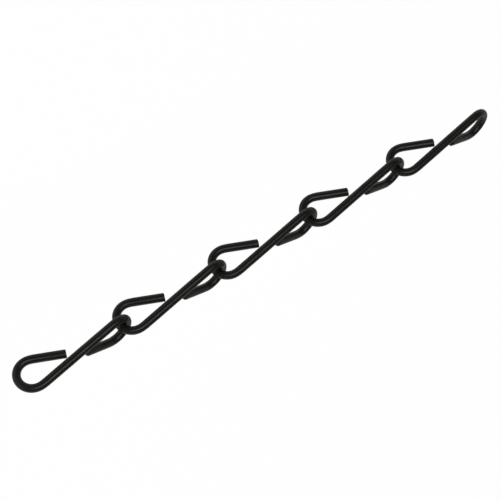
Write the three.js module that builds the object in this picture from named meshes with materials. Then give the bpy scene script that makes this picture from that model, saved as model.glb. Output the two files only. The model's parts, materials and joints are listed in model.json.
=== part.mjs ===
// A safety chain of five bent-wire links. Each link is one length of round wire: a straight shank with a
// teardrop hook at each end, the two hooks turned a quarter turn from each other. Units are millimetres, +Z up.
//
// The chain is drawn out straight and lies on its hooks: +X runs along the pull from link_1 to link_5, the
// origin is on the resting surface under the chain's middle, and the chain looks the same after half a turn
// about Z.
import * as THREE from "three";

const LINK_COUNT = 5;
const WIRE_DIAMETER = 4;
const EYE_INSIDE_DIAMETER = 10.56;
const SHANK_LENGTH = 43.06; // the straight stretch between the two hooks
const HOOK_TURN = THREE.MathUtils.degToRad(214.74); // how far the wire turns round each eye
const HOOK_LEG_LENGTH = 16.32; // the straight run from the eye back to the shank
const HOOK_RUNNING_GAP = 0.15; // between the wires of two hooked links, pulled taut

const WIRE_SIDES = 16;
const BEND_STEPS = 16;
const WIRE_RADIUS = WIRE_DIAMETER / 2;
const BEND_RADIUS = EYE_INSIDE_DIAMETER / 2 + WIRE_RADIUS; // to the middle of the wire

// A link's own axes: the shank lies on X, its first hook opens towards +Z and its last towards +Y.
const ALONG = new THREE.Vector3(1, 0, 0);
const LAST_HOOK_SIDE = new THREE.Vector3(0, 1, 0);
const FIRST_HOOK_SIDE = new THREE.Vector3(0, 0, 1);

// Two hooked links touch wire to wire, so each link is set off from the one before by this much.
const LINK_PITCH = new THREE.Vector3(
  SHANK_LENGTH + 2 * BEND_RADIUS - WIRE_DIAMETER - HOOK_RUNNING_GAP,
  BEND_RADIUS,
  -BEND_RADIUS,
);

// A round bend that starts at a point in the direction `heading` and turns towards `side`.
class Bend extends THREE.Curve {
  constructor(start, heading, side) {
    super();
    this.heading = heading;
    this.side = side;
    this.centre = start.clone().addScaledVector(side, BEND_RADIUS);
  }

  getPoint(t, target = new THREE.Vector3()) {
    const turned = t * HOOK_TURN;
    return target
      .copy(this.centre)
      .addScaledVector(this.heading, BEND_RADIUS * Math.sin(turned))
      .addScaledVector(this.side, -BEND_RADIUS * Math.cos(turned));
  }

  getTangent(t, target = new THREE.Vector3()) {
    const turned = t * HOOK_TURN;
    return target
      .set(0, 0, 0)
      .addScaledVector(this.heading, Math.cos(turned))
      .addScaledVector(this.side, Math.sin(turned));
  }
}

// The same curve travelled from its end to its start.
class Reversed extends THREE.Curve {
  constructor(curve) {
    super();
    this.curve = curve;
  }

  getPoint(t, target) {
    return this.curve.getPoint(1 - t, target);
  }

  getTangent(t, target) {
    return this.curve.getTangent(1 - t, target).negate();
  }
}

// The middle line of the whole wire, as stretches joined end to end. Each stretch takes a whole number of
// steps: many round a bend and one along a straight, so that even steps of the whole fall where they are needed.
class WireLine extends THREE.Curve {
  constructor(stretches) {
    super();
    this.stations = stretches.flatMap(({ curve, steps }) =>
      Array.from({ length: steps }, (_, step) => ({ curve, from: step / steps, to: (step + 1) / steps })),
    );
  }

  read(kind, u, target) {
    const place = u * this.stations.length;
    const index = Math.min(Math.floor(place + 1e-6), this.stations.length - 1);
    const { curve, from, to } = this.stations[index];
    return curve[kind](THREE.MathUtils.lerp(from, to, place - index), target);
  }

  getPoint(u, target) {
    return this.read("getPoint", u, target);
  }

  getTangent(u, target) {
    return this.read("getTangent", u, target);
  }

  // Steps are counted along the list of stretches, not measured along the wire.
  getPointAt(u, target) {
    return this.getPoint(u, target);
  }

  getTangentAt(u, target) {
    return this.getTangent(u, target);
  }
}

// One hook, from the end of the shank round the eye and back along the leg to the cut end.
function hookCurves(start, heading, side) {
  const bend = new Bend(start, heading, side);
  const legStart = bend.getPoint(1);
  const legEnd = legStart.clone().addScaledVector(bend.getTangent(1), HOOK_LEG_LENGTH);
  return { bend, leg: new THREE.LineCurve3(legStart, legEnd) };
}

function linkWireLine() {
  const shankStart = new THREE.Vector3(0, 0, 0);
  const shankEnd = ALONG.clone().multiplyScalar(SHANK_LENGTH);
  const first = hookCurves(shankStart, ALONG.clone().negate(), FIRST_HOOK_SIDE);
  const last = hookCurves(shankEnd, ALONG, LAST_HOOK_SIDE);
  return new WireLine([
    { curve: new Reversed(first.leg), steps: 1 },
    { curve: new Reversed(first.bend), steps: BEND_STEPS },
    { curve: new THREE.LineCurve3(shankStart, shankEnd), steps: 1 },
    { curve: last.bend, steps: BEND_STEPS },
    { curve: last.leg, steps: 1 },
  ]);
}

// The wire's round section, swept along the link's middle line and cut square at both ends.
function linkGeometry() {
  const line = linkWireLine();
  const section = new THREE.Shape();
  section.absarc(0, 0, WIRE_RADIUS, 0, 2 * Math.PI, false);
  return new THREE.ExtrudeGeometry(section, {
    curveSegments: WIRE_SIDES / 2,
    steps: line.stations.length,
    extrudePath: line,
  });
}

// Black satin paint over steel wire.
function paintedWire() {
  return new THREE.MeshStandardMaterial({ color: 0x2a2a28, roughness: 0.45, metalness: 0.3 });
}

// The links, drawn out straight from the first one, in the first link's axes.
function drawnOutLinks() {
  const links = new THREE.Group();
  const geometry = linkGeometry();
  for (let index = 0; index < LINK_COUNT; index += 1) {
    const link = new THREE.Mesh(geometry, paintedWire());
    link.name = `link_${index + 1}`;
    link.position.copy(LINK_PITCH).multiplyScalar(index);
    links.add(link);
  }
  return links;
}

// Lays the links down: the pull along +X and both hooks' open sides down, so that every eye's round back
// touches the surface, with the shanks on top.
function laidDown(links) {
  const pull = LINK_PITCH.clone().normalize();
  const up = FIRST_HOOK_SIDE.clone().add(LAST_HOOK_SIDE).normalize().negate();
  const across = up.clone().cross(pull);
  const rowAxes = new THREE.Matrix4().makeBasis(pull, across, up);
  links.quaternion.setFromRotationMatrix(rowAxes.invert());

  const box = new THREE.Box3().setFromObject(links, true);
  links.position.set(-(box.min.x + box.max.x) / 2, -(box.min.y + box.max.y) / 2, -box.min.z);
  return links;
}

const chain = new THREE.Group();
chain.add(laidDown(drawnOutLinks()));

export default chain;
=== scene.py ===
"""A safety chain of five bent-wire links, drawn out straight above a pale floor. Metres, +Z up.

Each link is one swept wire in satin black paint. Its middle line follows the CAD link's, and its surface
adds what bending, cutting and painting leave on real wire: bends that ease in and out, a section flattened a
little round each eye, sheared ends, uneven paint, and bare steel where the links rub and on the cuts' sharp
edges.
"""

import json
import math

import bpy
from mathutils import Matrix, Vector, noise


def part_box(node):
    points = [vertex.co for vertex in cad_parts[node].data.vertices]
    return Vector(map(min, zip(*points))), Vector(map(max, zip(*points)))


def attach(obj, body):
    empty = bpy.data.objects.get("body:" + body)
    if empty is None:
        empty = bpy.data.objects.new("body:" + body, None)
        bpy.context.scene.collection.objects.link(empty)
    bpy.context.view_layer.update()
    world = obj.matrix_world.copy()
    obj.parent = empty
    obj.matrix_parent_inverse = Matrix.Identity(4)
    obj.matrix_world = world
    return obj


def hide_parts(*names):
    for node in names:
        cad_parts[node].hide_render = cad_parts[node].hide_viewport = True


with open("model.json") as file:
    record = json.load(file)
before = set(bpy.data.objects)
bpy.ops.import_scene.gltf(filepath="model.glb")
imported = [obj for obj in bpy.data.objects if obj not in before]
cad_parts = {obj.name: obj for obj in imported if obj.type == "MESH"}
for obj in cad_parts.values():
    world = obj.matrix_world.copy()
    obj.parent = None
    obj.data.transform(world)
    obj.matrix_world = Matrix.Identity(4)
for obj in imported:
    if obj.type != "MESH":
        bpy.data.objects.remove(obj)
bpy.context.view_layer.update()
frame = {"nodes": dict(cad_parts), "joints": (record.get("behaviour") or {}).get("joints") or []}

# The wire's middle line, as in the CAD part.
WIRE_RADIUS = 0.002
BEND_RADIUS = 0.00728
SHANK_LENGTH = 0.04306
HOOK_TURN = math.radians(214.74)
HOOK_LEG_LENGTH = 0.01632

# A real bend eases in and out, which moves it aside by ease * ease / (24 * radius). Half of that goes into a
# tighter bend and half into setting the bend further out, and the eye keeps its size.
BEND_EASE = 0.004
EASE_SHIFT = BEND_EASE * BEND_EASE / (48 * BEND_RADIUS)
EASED_RADIUS = BEND_RADIUS - EASE_SHIFT
BEND_LENGTH = EASED_RADIUS * HOOK_TURN
HOOK_LENGTH = BEND_LENGTH + HOOK_LEG_LENGTH

# What making it did to the surface.
PAINT_THICKNESS = 0.00005
SKIN_RADIUS = WIRE_RADIUS + PAINT_THICKNESS
FLATTENING = 0.03  # of the radius, towards the eye's middle
WIDENING = 0.015  # of the radius, the other way
WAVE_HEIGHT = 0.000014
WAVE_LENGTH = 0.006
ROLL_OVER = 0.00065  # edge radius on the hook's outside, where the cutter went in
SHARP_EDGE = 0.0002  # edge radius on its inside, where the cutter came out
CUT_SLOPE = math.tan(math.radians(2.5))
CUT_ROUGHNESS = 0.00005
CUT_GRAIN = 0.0004

# Where the paint is worn: 1 where another link rubs it the most.
RUB_LENGTH = 0.0022
EDGE_WEAR = 0.9

# How finely it is drawn.
SIDES = 48
STRAIGHT_STEP = 0.0009
BEND_STEP = 0.0004
EDGE_RINGS = 6
FACE_RINGS = 7
ANGLES = [2 * math.pi * side / SIDES for side in range(SIDES)]

# How far apart the patterns of two links start, so that no two links look alike.
SEED_STEP = 0.3


def smoothstep(x):
    x = min(max(x, 0.0), 1.0)
    return x * x * (3 - 2 * x)


# ---- the wire's middle line, in a link's own axes: the shank on X, the first hook opening towards +Z and the
# ---- last hook towards +Y


class Station:
    """A place on the middle line, where one ring of the wire's surface goes: how far along the wire it is,
    how far ahead of and aside from the shank's end, the angle that the wire has turned by there, and how much
    of the full bend it has."""

    def __init__(self, along, ahead=0.0, aside=0.0, heading=0.0, bend=0.0, last_hook=False):
        self.along = along
        self.heading = heading
        self.bend = bend
        self.last_hook = last_hook
        sine, cosine = math.sin(heading), math.cos(heading)
        if last_hook:
            self.point = Vector((SHANK_LENGTH + ahead, aside, 0))
            self.tangent = Vector((cosine, sine, 0))
            self.sides = Vector((-sine, cosine, 0)), Vector((0, 0, 1))
        else:
            self.point = Vector((-ahead, 0, aside))
            self.tangent = Vector((cosine, 0, -sine))
            self.sides = Vector((0, 1, 0)), Vector((sine, 0, cosine))

    def inwardness(self, angle):
        """1 where the section faces the eye's middle, -1 where it faces away."""
        return math.cos(angle) if self.last_hook else math.sin(angle)

    def surface_point(self, angle, radius, ahead=0.0):
        """The point at that angle and radius. A bend flattens the wire: the eye's inside keeps its place and
        its outside moves in."""
        reach = [radius * math.cos(angle), radius * math.sin(angle)]
        inward = 0 if self.last_hook else 1
        reach[inward] *= 1 - FLATTENING * self.bend
        reach[inward] += WIRE_RADIUS * FLATTENING * self.bend
        reach[1 - inward] *= 1 + WIDENING * self.bend
        return self.point + self.sides[0] * reach[0] + self.sides[1] * reach[1] + self.tangent * ahead


def bend_share(walked):
    """How much of the full curvature the wire has, that far past the shank."""
    rising = (walked + BEND_EASE / 2) / BEND_EASE
    falling = (BEND_LENGTH + BEND_EASE / 2 - walked) / BEND_EASE
    return min(max(min(rising, falling), 0.0), 1.0)


def even_steps(length, step):
    count = round(length / step)
    return [length / count] * count


def hook_walk():
    """The middle line from where the bend begins to the last ring before the cut, as (walked, ahead, aside,
    heading), all measured from the shank's end."""
    walked = -BEND_EASE / 2
    ahead, aside, heading = walked + EASE_SHIFT, 0.0, 0.0
    steps = even_steps(BEND_LENGTH + BEND_EASE, BEND_STEP)
    steps += even_steps(HOOK_LEG_LENGTH - BEND_EASE / 2 - ROLL_OVER, STRAIGHT_STEP)
    line = [(walked, ahead, aside, heading)]
    for step in steps:
        turn = bend_share(walked + step / 2) * step / EASED_RADIUS
        ahead += step * math.cos(heading + turn / 2)
        aside += step * math.sin(heading + turn / 2)
        heading += turn
        walked += step
        line.append((walked, ahead, aside, heading))
    return line


def wire_stations():
    """Every plain ring of a link, from its first hook's cut end to its last hook's."""
    walk = hook_walk()
    stations = [
        Station(HOOK_LENGTH - walked, ahead, aside, heading, bend_share(walked))
        for walked, ahead, aside, heading in reversed(walk)
    ]
    ease_in = walk[0][1]
    shank_start = -ease_in
    for step in even_steps(SHANK_LENGTH + 2 * ease_in, STRAIGHT_STEP)[1:]:
        shank_start += step
        stations.append(Station(HOOK_LENGTH + shank_start, -shank_start))
    for walked, ahead, aside, heading in walk:
        along = HOOK_LENGTH + SHANK_LENGTH + walked
        stations.append(Station(along, ahead, aside, heading, bend_share(walked), last_hook=True))
    return stations


# ---- the wire's surface


def cut_edge(station, angle):
    """The cut's edge radius: large where the cutter went in and small where it came out."""
    return SHARP_EDGE + (ROLL_OVER - SHARP_EDGE) * (1 - station.inwardness(angle)) / 2


def cut_face(station, angle, radius, seed):
    """How far past the last plain ring the cut face lies. It slopes, and its later half broke off rough."""
    inward = radius * station.inwardness(angle)
    spot = Vector((radius * math.cos(angle), radius * math.sin(angle), seed)) / CUT_GRAIN
    roughness = CUT_ROUGHNESS * smoothstep(0.5 + inward / WIRE_RADIUS) * noise.noise(spot)
    return ROLL_OVER - CUT_SLOPE * (WIRE_RADIUS - inward) + roughness


def cut_rings(station, seed):
    """The wire's end, from its last plain ring inwards to the cut face's middle, as rings of (angle, radius,
    how far past the last plain ring)."""
    rings = []
    for step in range(1, EDGE_RINGS + 1):
        lean = math.pi / 2 * step / EDGE_RINGS
        ring = []
        for angle in ANGLES:
            edge = cut_edge(station, angle)
            radius = SKIN_RADIUS - edge * (1 - math.cos(lean))
            top = cut_face(station, angle, SKIN_RADIUS - edge, seed)
            ring.append((angle, radius, top - edge * (1 - math.sin(lean))))
        rings.append(ring)
    for step in range(1, FACE_RINGS):
        share = 1 - step / FACE_RINGS
        radii = [(angle, (SKIN_RADIUS - cut_edge(station, angle)) * share) for angle in ANGLES]
        rings.append([(angle, radius, cut_face(station, angle, radius, seed)) for angle, radius in radii])
    return rings


def rubbing(station, angle):
    """How much another link has rubbed here: most on the eye's inside, at its far end."""
    off = (station.heading - math.pi / 2) * BEND_RADIUS / RUB_LENGTH
    return math.exp(-off * off) * smoothstep(station.inwardness(angle) * 1.4 - 0.3)


def scraping(station, angle, over):
    """How worn the cut's edge is, that share of the way over it: most on its sharp side."""
    return EDGE_WEAR * math.sin(math.pi * over) * smoothstep((1 + station.inwardness(angle)) / 2)


class Skin:
    """One link's closed surface, built ring by ring. It keeps each point's place on the straight wire, which
    the paint's pattern follows, and how worn its paint is."""

    def __init__(self, seed):
        self.seed = seed
        self.points = []
        self.unbent = []
        self.worn = []

    def add(self, station, angle, radius, ahead=0.0, scraped=0.0):
        spot = Vector((radius * math.cos(angle), radius * math.sin(angle), station.along + ahead + self.seed))
        wave = WAVE_HEIGHT * noise.noise(spot / WAVE_LENGTH) * radius / WIRE_RADIUS
        self.points.append(station.surface_point(angle, radius + wave, ahead))
        self.unbent.append(spot)
        self.worn.append(max(rubbing(station, angle), scraped))
        return len(self.points) - 1

    def cut_end(self, station, way):
        """The rings of one cut end and the number of its middle point."""
        rings = []
        seed = self.seed + way
        for step, ring in enumerate(cut_rings(station, seed), 1):
            over = min(step / EDGE_RINGS, 1.0)
            rings.append([
                self.add(station, angle, radius, way * past, scraping(station, angle, over))
                for angle, radius, past in ring
            ])
        return rings, self.add(station, 0.0, 0.0, way * cut_face(station, 0.0, 0.0, seed))


def wire_mesh(name, seed, placing):
    skin = Skin(seed)
    stations = wire_stations()
    plain = [[skin.add(station, angle, SKIN_RADIUS) for angle in ANGLES] for station in stations]
    first_end, first_middle = skin.cut_end(stations[0], -1)
    last_end, last_middle = skin.cut_end(stations[-1], 1)
    rings = first_end[::-1] + plain + last_end
    faces = []
    for side in range(SIDES):
        beside = (side + 1) % SIDES
        for ring, following in zip(rings, rings[1:]):
            faces.append((ring[side], ring[beside], following[beside], following[side]))
        faces.append((first_middle, rings[0][beside], rings[0][side]))
        faces.append((last_middle, rings[-1][side], rings[-1][beside]))
    mesh = bpy.data.meshes.new(name)
    mesh.from_pydata([placing @ point for point in skin.points], [], faces)
    mesh.shade_smooth()
    store(mesh, "unbent", "FLOAT_VECTOR", "vector", [number for spot in skin.unbent for number in spot])
    store(mesh, "worn", "FLOAT", "value", skin.worn)
    return mesh


def store(mesh, name, kind, field, values):
    mesh.attributes.new(name, kind, "POINT").data.foreach_set(field, values)


def link_placings():
    """Where each link's own axes lie. The first joint turns about the last hook's side of link_1, at that
    eye's far end, and the next about the first hook's side, the other way round."""
    joints = {joint["name"]: joint for joint in frame["joints"]}
    last_side = Vector(joints["link_2_swing"]["axis"]).normalized()
    first_side = -Vector(joints["link_3_swing"]["axis"]).normalized()
    turn = Matrix((last_side.cross(first_side), last_side, first_side)).transposed()
    eye_end = Vector((SHANK_LENGTH + BEND_RADIUS, BEND_RADIUS, 0))
    first_start = Vector(joints["link_2_swing"]["pos_m"]) - turn @ eye_end
    first_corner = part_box("link_1")[0]
    placings = {}
    for node in sorted(frame["nodes"]):
        start = first_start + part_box(node)[0] - first_corner
        placings[node] = Matrix.Translation(start) @ turn.to_4x4()
    return placings


# ---- materials

PAINT_COLOUR = (0.0180, 0.0180, 0.0140, 1)
DARK_PAINT_COLOUR = (0.0115, 0.0115, 0.0090, 1)
PAINT_IOR = 1.48
STEEL_COLOUR = (0.12, 0.115, 0.105, 1)
STEEL_ROUGHNESS = 0.33
STEEL_METALLIC = 0.9
MOTTLE_SIZE = 0.0040
ORANGE_PEEL_SIZE = 0.0006
DRAW_LINE_SIZE = 0.0004
DRAW_LINE_STRETCH = 40
SPECKLE_SIZE = 0.00012
BUMP_HEIGHT = 0.00006
BUMP_STRENGTH = 0.5


def new_material(name):
    material = bpy.data.materials.new(name)
    material.use_nodes = True
    return material, material.node_tree.nodes["Principled BSDF"]


class NodeBench:
    """Short ways to add and link the few kinds of node that the paint uses."""

    def __init__(self, material):
        self.nodes = material.node_tree.nodes
        self.links = material.node_tree.links

    def feed(self, socket, value):
        if isinstance(value, bpy.types.NodeSocket):
            self.links.new(value, socket)
        else:
            socket.default_value = value

    def attribute(self, name, output="Fac"):
        node = self.nodes.new("ShaderNodeAttribute")
        node.attribute_name = name
        return node.outputs[output]

    def grain(self, place, size, detail, stretch=1.0):
        """Noise with blobs of about that size, in metres, drawn out along the wire stretch times."""
        mapping = self.nodes.new("ShaderNodeMapping")
        mapping.inputs["Scale"].default_value = (1 / size, 1 / size, 1 / (size * stretch))
        self.feed(mapping.inputs["Vector"], place)
        node = self.nodes.new("ShaderNodeTexNoise")
        node.inputs["Scale"].default_value = 1.0
        node.inputs["Detail"].default_value = detail
        self.feed(node.inputs["Vector"], mapping.outputs["Vector"])
        return node.outputs["Fac"]

    def remap(self, value, span, onto):
        """The value's span, a low and a high, laid onto another, and held at its ends."""
        node = self.nodes.new("ShaderNodeMapRange")
        node.interpolation_type = "SMOOTHSTEP"
        self.feed(node.inputs["Value"], value)
        self.feed(node.inputs["From Min"], span[0])
        self.feed(node.inputs["From Max"], span[1])
        self.feed(node.inputs["To Min"], onto[0])
        self.feed(node.inputs["To Max"], onto[1])
        return node.outputs["Result"]

    def math(self, operation, a, b):
        node = self.nodes.new("ShaderNodeMath")
        node.operation = operation
        self.feed(node.inputs[0], a)
        self.feed(node.inputs[1], b)
        return node.outputs["Value"]

    def weigh(self, a, weight_a, b, weight_b):
        return self.math("ADD", self.math("MULTIPLY", a, weight_a), self.math("MULTIPLY", b, weight_b))

    def mix_numbers(self, share, a, b):
        node = self.nodes.new("ShaderNodeMix")
        node.data_type = "FLOAT"
        self.feed(node.inputs["Factor"], share)
        self.feed(node.inputs["A"], a)
        self.feed(node.inputs["B"], b)
        return node.outputs["Result"]

    def mix_colours(self, share, a, b):
        node = self.nodes.new("ShaderNodeMixRGB")
        self.feed(node.inputs["Fac"], share)
        self.feed(node.inputs["Color1"], a)
        self.feed(node.inputs["Color2"], b)
        return node.outputs["Color"]

    def bump(self, height, distance, strength):
        node = self.nodes.new("ShaderNodeBump")
        node.inputs["Distance"].default_value = distance
        node.inputs["Strength"].default_value = strength
        self.feed(node.inputs["Height"], height)
        return node.outputs["Normal"]


def bare_share(bench, orange_peel):
    """How much of the steel shows. The orange peel makes the worn spots' edges ragged."""
    ragged = bench.weigh(bench.attribute("worn"), 0.75, orange_peel, 0.6)
    return bench.remap(ragged, span=(0.78, 0.95), onto=(0.0, 0.75))


def satin_black_paint():
    material, surface = new_material("satin_black_paint")
    surface.inputs["IOR"].default_value = PAINT_IOR
    bench = NodeBench(material)
    unbent = bench.attribute("unbent", "Vector")
    mottling = bench.grain(unbent, MOTTLE_SIZE, detail=4)
    orange_peel = bench.grain(unbent, ORANGE_PEEL_SIZE, detail=3)
    draw_lines = bench.grain(unbent, DRAW_LINE_SIZE, detail=2, stretch=DRAW_LINE_STRETCH)
    speckle = bench.grain(unbent, SPECKLE_SIZE, detail=2)
    bare = bare_share(bench, orange_peel)

    dark = bench.remap(mottling, span=(0.35, 0.65), onto=(0.0, 1.0))
    paint = bench.mix_colours(dark, PAINT_COLOUR, DARK_PAINT_COLOUR)
    bench.feed(surface.inputs["Base Color"], bench.mix_colours(bare, paint, STEEL_COLOUR))

    broad_sheen = bench.remap(mottling, span=(0.3, 0.7), onto=(0.29, 0.39))
    fine_sheen = bench.remap(speckle, span=(0.3, 0.7), onto=(-0.03, 0.03))
    sheen = bench.math("ADD", broad_sheen, fine_sheen)
    bench.feed(surface.inputs["Roughness"], bench.mix_numbers(bare, sheen, STEEL_ROUGHNESS))
    bench.feed(surface.inputs["Metallic"], bench.mix_numbers(bare, 0.0, STEEL_METALLIC))

    height = bench.weigh(orange_peel, 0.55, draw_lines, 0.8)
    bench.feed(surface.inputs["Normal"], bench.bump(height, BUMP_HEIGHT, BUMP_STRENGTH))
    return material


def pale_floor_surface():
    material, surface = new_material("pale_floor_surface")
    surface.inputs["Base Color"].default_value = (0.10, 0.10, 0.10, 1)
    surface.inputs["Roughness"].default_value = 0.9
    surface.inputs["Specular IOR Level"].default_value = 0.1
    surface.inputs["Emission Color"].default_value = (1, 1, 1, 1)
    surface.inputs["Emission Strength"].default_value = 0.965
    return material


# ---- the stage

# How far the floor lies under the chain: links swing down as far as 0.16 m, and stay in sight.
FLOOR_DROP = 0.20

# The world's brightness by height, from straight down to straight up.
WORLD_HEIGHTS = [(-1.0, 0.43), (-0.1, 0.41), (0.1, 0.28), (0.4, 0.10), (0.7, 0.02)]

# Softboxes as (name, middle, length, width, watts): two above, along the chain, one past each end, and one
# low at the side. The ones above shine straight down, and the others face the chain.
SOFTBOXES = [
    ("key_softbox", (-0.05, 0.03, 1.25), 0.80, 0.35, 1.60),
    ("fill_softbox", (-0.25, 0.17, 1.30), 1.80, 0.55, 4.0),
    ("far_end_softbox", (1.15, -0.20, 0.30), 0.90, 0.60, 0.24),
    ("near_end_softbox", (-1.04, 0.60, 0.30), 0.90, 0.60, 0.62),
    ("side_softbox", (-0.60, -1.04, 0.30), 0.90, 0.60, 0.50),
]
LOWEST_ABOVE = 1.0

# Where the viewer stands, in degrees and metres. The view's own top is turned well round, so that the chain
# climbs to the right.
VIEW_AZIMUTH = -126.21
VIEW_ELEVATION = 60.12
VIEW_ROLL = 100.26
VIEW_DISTANCE = 0.9551
VIEW_AIM = Vector((-0.00737, -0.00061, 0.00389))
LENS_MM = 145.42
NEAREST_SEEN = 0.01
FARTHEST_SEEN = 50


def add_object(name, data):
    made = bpy.data.objects.new(name, data)
    bpy.context.scene.collection.objects.link(made)
    return made


def dish_mesh(radius=6.0, flat=3.0, rim_height=2.4, rings=40, sides=96):
    """A round floor whose rim curves up, so that it fills the view from every side."""
    points = [Vector((0, 0, 0))]
    faces = []
    for ring in range(1, rings + 1):
        out = radius * (ring / rings) ** 2
        rise = max(0.0, (out - flat) / (radius - flat))
        for side in range(sides):
            angle = 2 * math.pi * side / sides
            points.append(Vector((out * math.cos(angle), out * math.sin(angle), rim_height * rise * rise)))
    for side in range(sides):
        beside = (side + 1) % sides
        faces.append((0, 1 + side, 1 + beside))
        for ring in range(rings - 1):
            inner = 1 + ring * sides
            outer = inner + sides
            faces.append((inner + side, outer + side, outer + beside, inner + beside))
    mesh = bpy.data.meshes.new("floor")
    mesh.from_pydata(points, [], faces)
    mesh.shade_smooth()
    return mesh


def pale_floor():
    """The floor glows, as a light table does, and the wire doesn't reflect it: the world's lower half stands
    for what the wire sees there."""
    floor = add_object("floor", dish_mesh())
    floor.data.materials.append(pale_floor_surface())
    floor.location.z = -FLOOR_DROP
    floor.visible_glossy = False
    floor.visible_diffuse = False
    floor.visible_shadow = False
    return floor


def world_light():
    """A plain grey sky that changes only with height. The colour ramp runs from 0 to 1, and height from -1."""
    world = bpy.data.worlds.new("studio")
    world.use_nodes = True
    bpy.context.scene.world = world
    nodes, links = world.node_tree.nodes, world.node_tree.links
    direction = nodes.new("ShaderNodeTexCoord")
    parts = nodes.new("ShaderNodeSeparateXYZ")
    height = nodes.new("ShaderNodeMapRange")
    height.inputs["From Min"].default_value = WORLD_HEIGHTS[0][0]
    ramp = nodes.new("ShaderNodeValToRGB")
    links.new(direction.outputs["Generated"], parts.inputs["Vector"])
    links.new(parts.outputs["Z"], height.inputs["Value"])
    links.new(height.outputs["Result"], ramp.inputs["Fac"])
    links.new(ramp.outputs["Color"], nodes["Background"].inputs["Color"])
    stops = ramp.color_ramp.elements
    while len(stops) < len(WORLD_HEIGHTS):
        stops.new(0.5)
    for stop, (z, level) in zip(stops, WORLD_HEIGHTS):
        stop.position = (z + 1) / 2
        stop.color = (level, level, level, 1)


def add_softbox(name, middle, length, width, watts):
    light = bpy.data.lights.new(name, "AREA")
    light.shape = "RECTANGLE"
    light.size = length
    light.size_y = width
    light.energy = watts
    lamp = add_object(name, light)
    lamp.location = middle
    lamp.visible_camera = False
    if middle[2] < LOWEST_ABOVE:
        lamp.rotation_euler = Vector(middle).to_track_quat("Z", "Y").to_euler()


def viewing_camera():
    camera = bpy.data.cameras.new("camera")
    camera.lens = LENS_MM
    camera.clip_start = NEAREST_SEEN
    camera.clip_end = FARTHEST_SEEN
    azimuth, elevation = math.radians(VIEW_AZIMUTH), math.radians(VIEW_ELEVATION)
    level = math.cos(elevation)
    back = Vector((math.sin(azimuth) * level, -math.cos(azimuth) * level, math.sin(elevation)))
    upright = back.to_track_quat("Z", "Y").to_matrix()
    turn = upright @ Matrix.Rotation(math.radians(VIEW_ROLL), 3, "Z")
    holder = add_object("camera", camera)
    holder.matrix_world = Matrix.Translation(VIEW_AIM + back * VIEW_DISTANCE) @ turn.to_4x4()
    bpy.context.scene.camera = holder


viewing_camera()
world_light()
for softbox in SOFTBOXES:
    add_softbox(*softbox)
bpy.context.scene.view_settings.view_transform = "Standard"
pale_floor()

paint = satin_black_paint()
for number, (node, placing) in enumerate(link_placings().items()):
    wire = add_object(f"{node}_wire", wire_mesh(f"{node}_wire", SEED_STEP * number, placing))
    wire.data.materials.append(paint)
    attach(wire, node)
    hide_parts(node)
